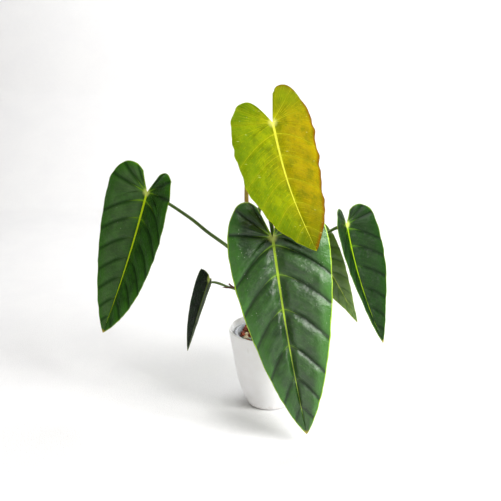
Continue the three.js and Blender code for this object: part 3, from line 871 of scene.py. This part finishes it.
def specks_effect():
    """Small scattered spots, of about the given share of the surface."""
    def build(n, given):
        cells = n.tree.nodes.new("ShaderNodeTexVoronoi")
        n.set(cells.inputs["Vector"], given["Place"])
        n.set(cells.inputs["Scale"], given["Density"])
        pick = n.add("ShaderNodeSeparateColor", {0: cells.outputs["Color"]})
        chosen = n.math("GREATER_THAN", n.plus(pick, given["Share"]), 1.0)
        spot = n.ease(cells.outputs["Distance"], 0.12, 0.34, 1.0, 0.0)
        return {"Mask": n.times(spot, chosen)}

    inputs = {"Place": "place", "Density": "number", "Share": "number"}
    return effect("specks", inputs, {"Mask": "number"}, build)


def veins_effect():
    """Masks of the midrib, the main and the minor veins, the margin and the star at the notch."""
    def build(n, given):
        phase, pitch, across = n.value("phase"), n.value("pitch"), n.value("across")
        down, rib, edge = n.value("down"), n.value("rib"), n.value("edge")

        def lines(count):
            turn = n.math("FRACT", n.plus(n.times(phase, float(count)), 0.5))
            apart = n.math("ABSOLUTE", n.less(turn, 0.5))
            return n.times(n.times(apart, pitch), 1.0 / count)

        def taper(power, low):
            narrow = n.math("POWER", n.less(1.0, across), float(power))
            return n.plus(n.times(narrow, 1.0 - low), low)

        def line(gap, width):
            return n.ease(n.math("DIVIDE", gap, width), 0.35, 1.25, 1.0, 0.0)

        gap = lines(1)
        wide = n.plus(taper(2, 0.28), n.ease(n.value("notch"), 10.0, 50.0, 0.5, 0.0))
        main = line(gap, n.times(given["Vein width"], wide))
        minor = n.times(line(lines(5), n.plus(taper(1, 0.5), -0.2)), n.ease(across, 0.02, 0.2))
        thin = n.math("MAXIMUM", n.less(1.0, down), 0.06)
        rib_width = n.times(given["Rib width"], thin)
        on_blade = n.ease(down, -0.02, 0.0)
        midrib = n.times(n.ease(n.math("DIVIDE", rib, rib_width), 0.8, 1.15, 1.0, 0.0), on_blade)
        uneven = n.times(n.noise(given["Place"], 12, 2), 1.2)
        margin = n.ease(n.math("DIVIDE", edge, n.times(given["Margin width"], uneven)), 0.5, 1.6, 1.0, 0.0)
        star = n.ease(n.value("notch"), 3.0, 11.0, 1.0, 0.0)
        near = n.ease(gap, 0.0, 7.0, 1.0, 0.0)
        return {"Main": main, "Minor": minor, "Midrib": midrib, "Margin": margin, "Star": star, "Near": near}

    inputs = {"Place": "place", "Vein width": "number", "Rib width": "number", "Margin width": "number"}
    outputs = {key: "number" for key in ("Main", "Minor", "Midrib", "Margin", "Star", "Near")}
    return effect("leaf_veins", inputs, outputs, build)


def new_material(name, **constants):
    material = bpy.data.materials.new(name)
    material.use_nodes = True
    shader = material.node_tree.nodes["Principled BSDF"]
    for key, value in constants.items():
        shader.inputs[key.replace("_", " ").title().replace("Ior", "IOR")].default_value = value
    return material, Nodes(material.node_tree), shader


def connect(nodes, shader, base, roughness, height):
    """Base colour, roughness and a bump whose height is in millimetres."""
    nodes.set(shader.inputs["Base Color"], base)
    nodes.set(shader.inputs["Roughness"], roughness)
    bump = nodes.add("ShaderNodeBump", {"Height": height, "Distance": MM, "Strength": 1.0}, "Normal")
    nodes.set(shader.inputs["Normal"], bump)


EFFECTS = {"mottle": mottle_effect(), "specks": specks_effect(), "veins": veins_effect()}

# ---------------------------------------------------------------- materials
# Display values of red, green and blue, from 0 to 255.
TONES = {name: colour(*levels) for name, levels in {
    "star": (206, 220, 112), "dry_tip": (176, 158, 50), "mark": (206, 214, 196),
    "back_vein": (156, 178, 96), "lime": (134, 146, 0), "deep_lime": (98, 122, 0), "ochre": (152, 134, 0),
    "deep_ochre": (126, 116, 0), "olive": (86, 98, 0), "left_edge": (84, 112, 0), "young_tip_painted_shade": (84, 98, 0),
    "young_lobe": (84, 110, 0), "dry_brown": (112, 66, 0), "near_vein": (168, 168, 16),
    "net_vein": (178, 174, 14), "side_vein": (176, 178, 26), "fresh_margin": (150, 170, 10),
    "brown_margin": (84, 46, 0), "young_rib": (200, 200, 56), "young_star": (214, 212, 110),
    "scratch": (196, 200, 120), "young_back": (150, 150, 34), "young_back_vein": (190, 190, 70),
    "fleck": (186, 184, 120), "bark": (112, 84, 48), "green_bark": (96, 104, 52), "dark_bark": (70, 48, 28),
    "leaf_scar": (176, 150, 104), "root": (74, 40, 16), "pale_root": (104, 66, 30),
    "root_band": (48, 26, 12), "root_tip": (166, 132, 78), "sheath": (150, 170, 60),
    "tan_sheath": (170, 128, 62), "sheath_streak": (190, 190, 104), "sheath_tip": (134, 84, 40),
    "white": (246, 246, 247), "shaded_white": (242, 241, 241), "dust": (198, 188, 172),
    "scuff": (206, 202, 196), "cloudy": (206, 212, 220), "pale_cloudy": (228, 232, 236),
    "water_stain": (188, 184, 172), "tide_line": (160, 146, 124), "bed_lava": (96, 42, 26),
    "bed_pumice": (176, 160, 128), "bed_zeolite": (120, 132, 116), "bed_gap_shade": (40, 26, 18),
    "floor": (240, 240, 240), "floor_patch": (236, 236, 237),
}.items()}

# Each grown leaf: its tones, gloss, share of spots, least roughness (dullness), how far from the notch its
# side veins stay pale (reach), and a grey sheen painted on one half of it (-1 left, 1 right), a painted
# reflection.
# The deep tone is both the leaf's darker mottle and painted shade in the creases along its veins.
LEAF_LOOKS = {
    "front": dict(
        face=(42, 84, 22), deep=(16, 46, 10), rim=(52, 116, 6), vein=(132, 178, 40),
        rib=(172, 206, 44), margin=(164, 204, 2), back=(98, 128, 64), gloss=0.55, spots=0.09,
        dullness=0.27, reach=300, painted_sheen=(92, 120, 80), painted_sheen_side=1, painted_sheen_share=0.2),
    "left": dict(
        face=(44, 96, 12), deep=(20, 58, 2), rim=(48, 104, 4), vein=(116, 164, 10),
        rib=(196, 226, 2), margin=(116, 156, 6), back=(86, 116, 54), gloss=0.14, spots=0.012,
        dullness=0.26, reach=110, painted_sheen=(96, 118, 82), painted_sheen_side=-1, painted_sheen_share=0.4),
    "right": dict(
        face=(14, 50, 3), deep=(6, 32, 1), rim=(20, 62, 1), vein=(84, 130, 14),
        rib=(150, 186, 12), margin=(108, 146, 6), back=(88, 118, 58), gloss=0.12, spots=0.01,
        dullness=0.24, reach=120, painted_sheen=(80, 104, 66), painted_sheen_side=1, painted_sheen_share=0.12),
    # The lower-left leaf's tones are darkened towards black as painted shade, its face being turned from the
    # light; the pale sheen on one half is a painted reflection.
    "lower_left": dict(
        face=(14, 36, 4), deep=(6, 20, 1), rim=(18, 46, 2), vein=(46, 74, 14),
        rib=(96, 120, 28), margin=(104, 124, 30), back=(96, 122, 66), gloss=0.08, spots=0.0,
        dullness=0.34, reach=60, painted_sheen=(120, 138, 98), painted_sheen_side=1, painted_sheen_share=0.5),
    "back": dict(
        face=(86, 118, 38), deep=(66, 98, 24), rim=(96, 130, 28), vein=(126, 152, 58),
        rib=(158, 178, 60), margin=(132, 152, 40), back=(104, 130, 64), gloss=0.4, spots=0.0,
        dullness=0.3, reach=200, painted_sheen=(110, 132, 80), painted_sheen_side=1, painted_sheen_share=0.2),
}
STALK_TONES = {
    "green": ((92, 122, 34), (60, 88, 18), (96, 92, 40)),
    "young": ((178, 160, 60), (168, 130, 44), (160, 112, 36)),
}
STONES = {                # pore size and depth, then the tones of its face, its shade and its dust
    "lava": (1.5, 0.9, (138, 62, 38), (84, 34, 20), (168, 98, 70)),
    "pumice": (1.1, 0.6, (206, 192, 160), (170, 150, 116), (226, 216, 192)),
    "zeolite": (2.2, 0.4, (146, 160, 140), (112, 128, 110), (176, 186, 168)),
}


def leaf_relief(n, place, masks, under, minor_depth=-0.12):
    """Grooved veins on the face, raised ones on the back, and puckers and a fine net between them."""
    groove = n.plus(n.times(masks["Main"], -0.4), n.times(masks["Minor"], minor_depth))
    groove = n.times(groove, n.less(1.0, n.times(under, 2.0)))
    net = n.ease(n.cells(place, 2.6, feature="DISTANCE_TO_EDGE"), 0.0, 0.16)
    texture = n.times(n.noise(place, 0.9, 3, 0.6), 0.06)
    texture = n.plus(texture, n.times(n.noise(place, 8, 3, 0.55), PUCKER_DEPTH))
    texture = n.plus(texture, n.times(n.noise(place, 3, 2, 0.5), BLISTER_DEPTH))
    texture = n.plus(texture, n.times(net, 0.09))
    texture = n.times(texture, n.less(1.0, n.times(under, 0.75)))
    return n.plus(groove, texture)


def leaf_back(n, masks, tone, pale):
    return n.mix(n.math("MAXIMUM", masks["Main"], masks["Midrib"]), tone, pale)


def leaf_material(name):
    """A grown leaf: dark green with painted shade in the creases along the veins, fresher and thinly edged at
    the margin, and a grey sheen painted on one half.
    """
    looks = LEAF_LOOKS[name].items()
    look = {key: colour(*value) if isinstance(value, tuple) else value for key, value in looks}
    material, n, shader = new_material(
        "leaf_" + name, subsurface_weight=0.03, subsurface_radius=(0.6, 1.0, 0.25), subsurface_scale=1.2 * MM,
        specular_ior_level=look["gloss"], coat_weight=0.2 * look["gloss"], coat_roughness=0.3)
    place = n.place()
    under, across = n.value("under"), n.value("across")
    masks = n.group(EFFECTS["veins"], place=place, vein_width=1.2, rib_width=2.6, margin_width=2.1)

    base = n.mottle(place, look["face"], look["deep"], 0.85)
    # Painted sheen: a patchy grey reflection painted over one half of the blade.
    half = n.ease(n.times(n.value("side"), float(look["painted_sheen_side"])), 0.0, 0.12)
    painted_sheen = n.times(half, n.ease(n.noise(place, 30, 4, 0.6), 0.3, 0.7, 0.5, 1.0))
    base = n.over(base, painted_sheen, look["painted_sheen_share"], look["painted_sheen"])
    base = n.over(base, n.ease(across, 0.62, 1.0), 0.85, look["rim"])
    upper = n.ease(n.value("notch"), 0.25 * look["reach"], look["reach"], 1.0, 0.12)
    glow = n.times(n.ease(across, 0.02, 0.3, 0.3, 0.0), upper)
    base = n.mix(n.times(masks["Near"], glow), base, look["vein"])
    # Painted shade: the blade darkens in the creases beside each vein, away from the midrib.
    base = n.mix(n.times(masks["Near"], n.ease(across, 0.15, 0.4, 0.0, 0.9)), base, look["deep"])
    base = n.over(base, masks["Minor"], 0.06, look["vein"])
    # The main veins run pale near the notch and turn to painted shade along their grooves further out.
    faded = n.math("ADD", n.ease(across, 0.1, 0.6), n.less(1.0, upper), clamp=True)
    line = n.mix(faded, look["vein"], look["deep"])
    base = n.mix(n.times(masks["Main"], n.ease(across, 0.05, 0.7, 0.85, 0.4)), base, line)
    base = n.mix(masks["Margin"], base, look["margin"])
    base = n.mix(masks["Midrib"], base, look["rib"])
    base = n.over(base, masks["Star"], 0.9, TONES["star"])
    base = n.mix(n.ease(n.value("down"), 0.97, 0.995), base, TONES["dry_tip"])
    marks = n.specks(place, 0.4, look["spots"])
    near_top = n.ease(n.value("down"), 0.2, 0.6, 1.0, 0.15)
    marks = n.times(marks, n.times(n.ease(n.noise(place, 34, 2), 0.48, 0.6), near_top))
    base = n.over(base, marks, 0.7, TONES["mark"])
    base = n.mix(under, base, leaf_back(n, masks, look["back"], TONES["back_vein"]))

    relief = n.plus(leaf_relief(n, place, masks, under), n.times(marks, 0.3))
    dull = n.plus(n.times(n.noise(place, 16, 3), 0.2), n.times(under, 0.2))
    connect(n, shader, base, n.plus(dull, look["dullness"]), relief)
    return material


def young_leaf_material():
    """The newest leaf: thin and lime on its left half, ochre on its right, with a browned right margin."""
    material, n, shader = new_material(
        "leaf_top", subsurface_weight=0.04, subsurface_radius=(0.6, 1.0, 0.2), subsurface_scale=1.2 * MM,
        specular_ior_level=0.03)
    place = n.place()
    under, side, down = n.value("under"), n.value("side"), n.value("down")
    masks = n.group(EFFECTS["veins"], place=place, vein_width=0.9, rib_width=2.3, margin_width=1.1)
    lime = n.mottle(place, TONES["lime"], TONES["deep_lime"], 0.95)
    ochre = n.mottle(place, TONES["ochre"], TONES["deep_ochre"], 0.95)
    drift = n.plus(side, n.times(n.less(n.noise(place, 40, 4, 0.6), 0.5), 1.6))
    drift = n.less(drift, n.ease(down, -0.16, 0.0, 0.75, 0.0))
    base = n.mix(n.ease(drift, -0.6, 0.6), lime, ochre)
    shade = n.times(n.ease(n.noise(place, 18, 5, 0.7), 0.48, 0.64), 0.5)
    base = n.mix(shade, base, TONES["olive"])
    base = n.mix(n.ease(side, -1.0, -0.35, 0.6, 0.0), base, TONES["left_edge"])
    # Painted shade: darker towards the tip, where the dark front leaf lies behind this thin leaf.
    base = n.mix(n.ease(down, 0.62, 0.98, 0.0, 0.85), base, TONES["young_tip_painted_shade"])
    base = n.mix(n.ease(down, -0.16, 0.12, 0.4, 0.0), base, TONES["young_lobe"])
    dry = n.times(n.ease(n.value("edge"), 1.5, 9.0, 1.0, 0.0), n.ease(drift, 0.1, 0.5))
    base = n.over(base, dry, 0.85, TONES["dry_brown"])
    base = n.over(base, masks["Near"], 0.16, TONES["near_vein"])
    patchy = n.times(masks["Minor"], n.ease(n.noise(place, 14, 4, 0.6), 0.38, 0.66, 0.06, 0.55))
    base = n.mix(patchy, base, TONES["net_vein"])
    base = n.over(base, masks["Main"], 0.65, TONES["side_vein"])
    margin = n.mix(n.ease(drift, 0.1, 0.4), TONES["fresh_margin"], TONES["brown_margin"])
    base = n.mix(masks["Margin"], base, margin)
    base = n.mix(masks["Midrib"], base, TONES["young_rib"])
    base = n.over(base, masks["Star"], 0.6, TONES["young_star"])
    scratch = n.specks(n.place((0.25, 1, 1)), 0.35, 0.03)
    base = n.over(base, scratch, 0.45, TONES["scratch"])
    base = n.mix(under, base, leaf_back(n, masks, TONES["young_back"], TONES["young_back_vein"]))
    dull = n.plus(n.times(n.noise(place, 16, 3), 0.2), 0.4)
    connect(n, shader, base, dull, leaf_relief(n, place, masks, under, -0.3))
    return material


def stalk_material(name, fresh, ripe, foot):
    """A smooth stalk: fine lengthwise streaks, pale flecks, and browner where it leaves the stem."""
    fresh, ripe, foot = colour(*fresh), colour(*ripe), colour(*foot)
    material, n, shader = new_material(
        name, subsurface_weight=0.08, subsurface_radius=(0.8, 1.0, 0.3), subsurface_scale=1.0 * MM,
        coat_weight=0.15, coat_roughness=0.3)
    streaks = n.noise(n.along((1, 1, 0.05)), 0.45, 4, 0.7)
    flecks = n.specks(n.along((1, 1, 0.45)), 0.75, 0.13)
    base = n.mottle(n.along(), fresh, ripe, 0.9)
    base = n.over(base, n.ease(streaks, 0.45, 0.7), 0.4, ripe)
    base = n.over(base, flecks, 0.35, TONES["fleck"])
    base = n.mix(n.ease(n.value("share"), 0.02, 0.22, 0.75, 0.0), base, foot)
    roughness = n.plus(n.times(streaks, 0.2), 0.28)
    relief = n.plus(n.times(streaks, 0.25), n.times(flecks, 0.1))
    connect(n, shader, base, roughness, relief)
    return material


def stem_material():
    material, n, shader = new_material("stem_bark")
    where = n.along()
    streaks = n.noise(n.along((1, 1, 0.12)), 0.8, 5, 0.7)
    rings = n.math("PINGPONG", n.value("length"), NODE_SPACING / 2)
    scar = n.ease(rings, 0.6, 2.2, 1.0, 0.0)
    base = n.mottle(where, TONES["bark"], TONES["green_bark"], 0.85)
    base = n.over(base, n.ease(streaks, 0.42, 0.66), 0.6, TONES["dark_bark"])
    base = n.over(base, scar, 0.6, TONES["leaf_scar"])
    roughness = n.plus(n.times(streaks, 0.3), 0.5)
    relief = n.plus(n.times(streaks, 0.9), n.times(scar, -0.5))
    connect(n, shader, base, roughness, relief)
    return material


def root_material():
    material, n, shader = new_material("root_skin")
    streaks = n.noise(n.along((1, 1, 0.2)), 0.5, 4, 0.7)
    bands = n.noise(n.along((0.3, 0.3, 1)), 1.4, 3, 0.6)
    base = n.mottle(n.along(), TONES["root"], TONES["pale_root"], 0.8)
    base = n.over(base, n.ease(bands, 0.5, 0.62), 0.5, TONES["root_band"])
    base = n.mix(n.ease(n.value("share"), 0.955, 1.0), base, TONES["root_tip"])
    roughness = n.plus(n.times(bands, 0.3), 0.42)
    relief = n.plus(n.times(streaks, 0.35), n.times(bands, 0.3))
    connect(n, shader, base, roughness, relief)
    return material


def sheath_material():
    material, n, shader = new_material(
        "next_leaf_skin", subsurface_weight=0.15, subsurface_radius=(0.8, 1.0, 0.3),
        subsurface_scale=1.2 * MM, coat_weight=0.2, coat_roughness=0.25)
    streaks = n.noise(n.along((1, 1, 0.04)), 0.4, 4, 0.65)
    base = n.mottle(n.along(), TONES["sheath"], TONES["tan_sheath"], 0.8)
    base = n.over(base, n.ease(streaks, 0.46, 0.66), 0.45, TONES["sheath_streak"])
    base = n.mix(n.ease(n.value("share"), 0.86, 1.0), base, TONES["sheath_tip"])
    roughness = n.plus(n.times(streaks, 0.2), 0.26)
    connect(n, shader, base, roughness, n.times(streaks, 0.3))
    return material


def pot_material():
    """White satin plastic: a faint orange-peel skin, a little dust low down and light scuffs."""
    material, n, shader = new_material("white_satin_plastic", coat_weight=0.08, coat_roughness=0.3)
    place = n.place()
    height = n.add("ShaderNodeSeparateXYZ", {0: place}, 2)
    base = n.mottle(place, TONES["white"], TONES["shaded_white"], 0.9)
    dust = n.times(n.ease(height, 0.0, 16.0, 1.0, 0.0), n.ease(n.noise(place, 7, 4, 0.65), 0.4, 0.66))
    base = n.over(base, dust, 0.5, TONES["dust"])
    scuffs = n.specks(n.place((1, 1, 0.3)), 0.12, 0.03)
    base = n.over(base, scuffs, 0.3, TONES["scuff"])
    peel = n.noise(place, 1.6, 2, 0.4)
    roughness = n.plus(n.times(n.noise(place, 30, 3), 0.14), 0.26)
    roughness = n.plus(roughness, n.times(dust, 0.3))
    connect(n, shader, base, roughness, n.times(peel, 0.05))
    return material


def nursery_material():
    """Cloudy clear plastic with upright flow marks, water stains and a tide-line band near the top of the
    fill.
    """
    material, n, shader = new_material("cloudy_clear_plastic", transmission_weight=0.55, ior=1.45)
    place = n.place()
    streaks = n.noise(n.place((1, 1, 0.06)), 3.0, 4, 0.65)
    stains = n.noise(place, 9, 4, 0.65)
    height = n.add("ShaderNodeSeparateXYZ", {0: place}, 2)
    line = n.ease(n.math("ABSOLUTE", n.less(height, FILL_TOP - 6)), 1.0, 9.0, 1.0, 0.0)
    base = n.mix(n.ease(streaks, 0.4, 0.65), TONES["cloudy"], TONES["pale_cloudy"])
    base = n.over(base, n.ease(stains, 0.5, 0.64), 0.45, TONES["water_stain"])
    base = n.over(base, line, 0.35, TONES["tide_line"])
    roughness = n.plus(n.times(stains, 0.35), 0.14)
    connect(n, shader, base, roughness, n.times(streaks, 0.25))
    return material


def stone_material(name, face, shade, dust, pore_size, pore_depth):
    """A porous grain: round pores darkened with painted shade, dusty high spots and uneven colour."""
    face, shade, dust = colour(*face), colour(*shade), colour(*dust)
    material, n, shader = new_material(name, specular_ior_level=0.3)
    place = n.place()
    pores = n.cells(place, pore_size)
    hollow = n.ease(pores, 0.12, 0.42, 1.0, 0.0)
    lumps = n.noise(place, pore_size * 1.6, 5, 0.7)
    base = n.mottle(place, face, shade, 1.0)
    base = n.over(base, n.ease(lumps, 0.5, 0.68), 0.6, dust)
    # Painted shade: the pores take the darker tone.
    base = n.over(base, hollow, 0.75, shade)
    roughness = n.plus(n.times(lumps, 0.25), 0.68)
    relief = n.less(n.times(lumps, pore_depth), n.times(hollow, pore_depth))
    connect(n, shader, base, roughness, relief)
    return material


def bed_material():
    """Packed grains seen from the side and between the loose ones: brown, cream and grey stones, with painted
    shade in the gaps between them.
    """
    material, n, shader = new_material("packed_grains", specular_ior_level=0.3)
    place = n.place()
    stones = n.tree.nodes.new("ShaderNodeTexVoronoi")
    n.set(stones.inputs["Vector"], place)
    n.set(stones.inputs["Scale"], 1 / 7)
    pick = n.add("ShaderNodeSeparateColor", {0: stones.outputs["Color"]})
    base = n.mix(n.math("GREATER_THAN", pick, 0.5), TONES["bed_lava"], TONES["bed_pumice"])
    base = n.mix(n.math("GREATER_THAN", pick, 0.78), base, TONES["bed_zeolite"])
    # Painted shade: dark in the gaps between the packed stones.
    joint = n.ease(stones.outputs["Distance"], 0.3, 0.62)
    base = n.over(base, joint, 0.85, TONES["bed_gap_shade"])
    rough_skin = n.noise(place, 1.5, 5, 0.7)
    roughness = n.plus(n.times(rough_skin, 0.2), 0.7)
    relief = n.less(n.times(rough_skin, 0.8), n.times(joint, 2.0))
    connect(n, shader, base, roughness, relief)
    return material


def stage_material():
    material, n, shader = new_material("pale_sweep", specular_ior_level=0.2)
    place = n.place()
    base = n.mottle(n.place((0.2, 0.2, 0.2)), TONES["floor"], TONES["floor_patch"], 0.6)
    connect(n, shader, base, n.plus(n.times(n.noise(place, 40, 2), 0.1), 0.7), n.noise(place, 2))
    return material


# ---------------------------------------------------------------- the whole plant and its pots
def build_leaves():
    green = stalk_material("green_stalk", *STALK_TONES["green"])
    young = stalk_material("young_stalk", *STALK_TONES["young"])
    for number, (name, leaf) in enumerate(LEAVES.items(), 1):
        newest = name == "top"
        skin = young_leaf_material() if newest else leaf_material(name)
        finish_piece(blade(name, leaf, number), skin, ["blade_" + name])
        finish_piece(petiole(name, leaf), young if newest else green, ["petiole_" + name])


def build_middle():
    finish_piece(stem(), stem_material(), ["main_stem"])
    skin = root_material()
    finish_piece(forked_root(), skin, ["aerial_root_forked"])
    for number, (rise, points) in enumerate(GROUND_ROOTS, 1):
        name = f"ground_root_{number}"
        strand = root(name + "_strand", [stem_point(rise), *[grown(p) for p in points]], number + 4)
        finish_piece(strand, skin, [name])
    finish_piece(next_leaf(), sheath_material(), ["next_leaf_sheath"])


def build_pots():
    finish_piece(cover_pot(), pot_material(), ["cover_pot"])
    finish_piece(nursery_pot(), nursery_material(), ["nursery_pot"], 35)
    finish_piece(bed(), bed_material(), ["substrate_fill"])


def build_granules():
    grains = loose_grains()
    for kind, (pore_size, pore_depth, *tones) in STONES.items():
        material = stone_material(kind + "_stone", *tones, pore_size, pore_depth)
        nodes = [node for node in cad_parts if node.startswith("granule_" + kind)]
        finish_piece(granules(kind, grains), material, nodes, 40)


def build_stage():
    """A pale floor that sweeps up into a backdrop."""
    sweep = grid_sheet("pale_floor", 2, 60)
    flat = read_points(sweep)
    line = np.array(STAGE_LINE)
    t = (flat[:, 1] + 1) / 2 * (len(line) - 1)
    y = np.interp(t, np.arange(len(line)), line[:, 0])
    z = np.interp(t, np.arange(len(line)), line[:, 1])
    write_points(sweep, np.stack([flat[:, 0] * STAGE_HALF_WIDTH, y, z - STAGE_DROP], 1))
    apply_modifier(sweep, "SUBSURF", levels=2, render_levels=2)
    only(sweep)
    bpy.ops.object.shade_smooth()
    sweep.data.materials.append(stage_material())


def add_light(name, place, aim, size, power, tint):
    deselect_all()
    bpy.ops.object.light_add(type="AREA", location=place)
    light = bpy.context.object
    light.name = name
    light.rotation_euler = (Vector(aim) - Vector(place)).to_track_quat("-Z", "Y").to_euler()
    light.data.shape = "DISK"
    light.data.size = size
    light.data.energy = power
    light.data.color = tint


def build_lights():
    for light in LIGHTS:
        add_light(*light)
    world = bpy.data.worlds.new("soft_room")
    bpy.context.scene.world = world
    world.use_nodes = True
    background = world.node_tree.nodes["Background"]
    background.inputs["Color"].default_value = ROOM_COLOUR
    background.inputs["Strength"].default_value = ROOM_STRENGTH
    bpy.context.scene.view_settings.view_transform = "Standard"


def build_camera():
    deselect_all()
    bpy.ops.object.camera_add(location=CAMERA_PLACE, rotation=(math.radians(CAMERA_TILT), 0, 0))
    camera = bpy.context.object
    camera.name = "camera"
    camera.data.lens = CAMERA_LENS
    camera.data.sensor_width = CAMERA_SENSOR
    bpy.context.scene.camera = camera


build_camera()
build_lights()
build_stage()
build_pots()
build_granules()
build_middle()
build_leaves()
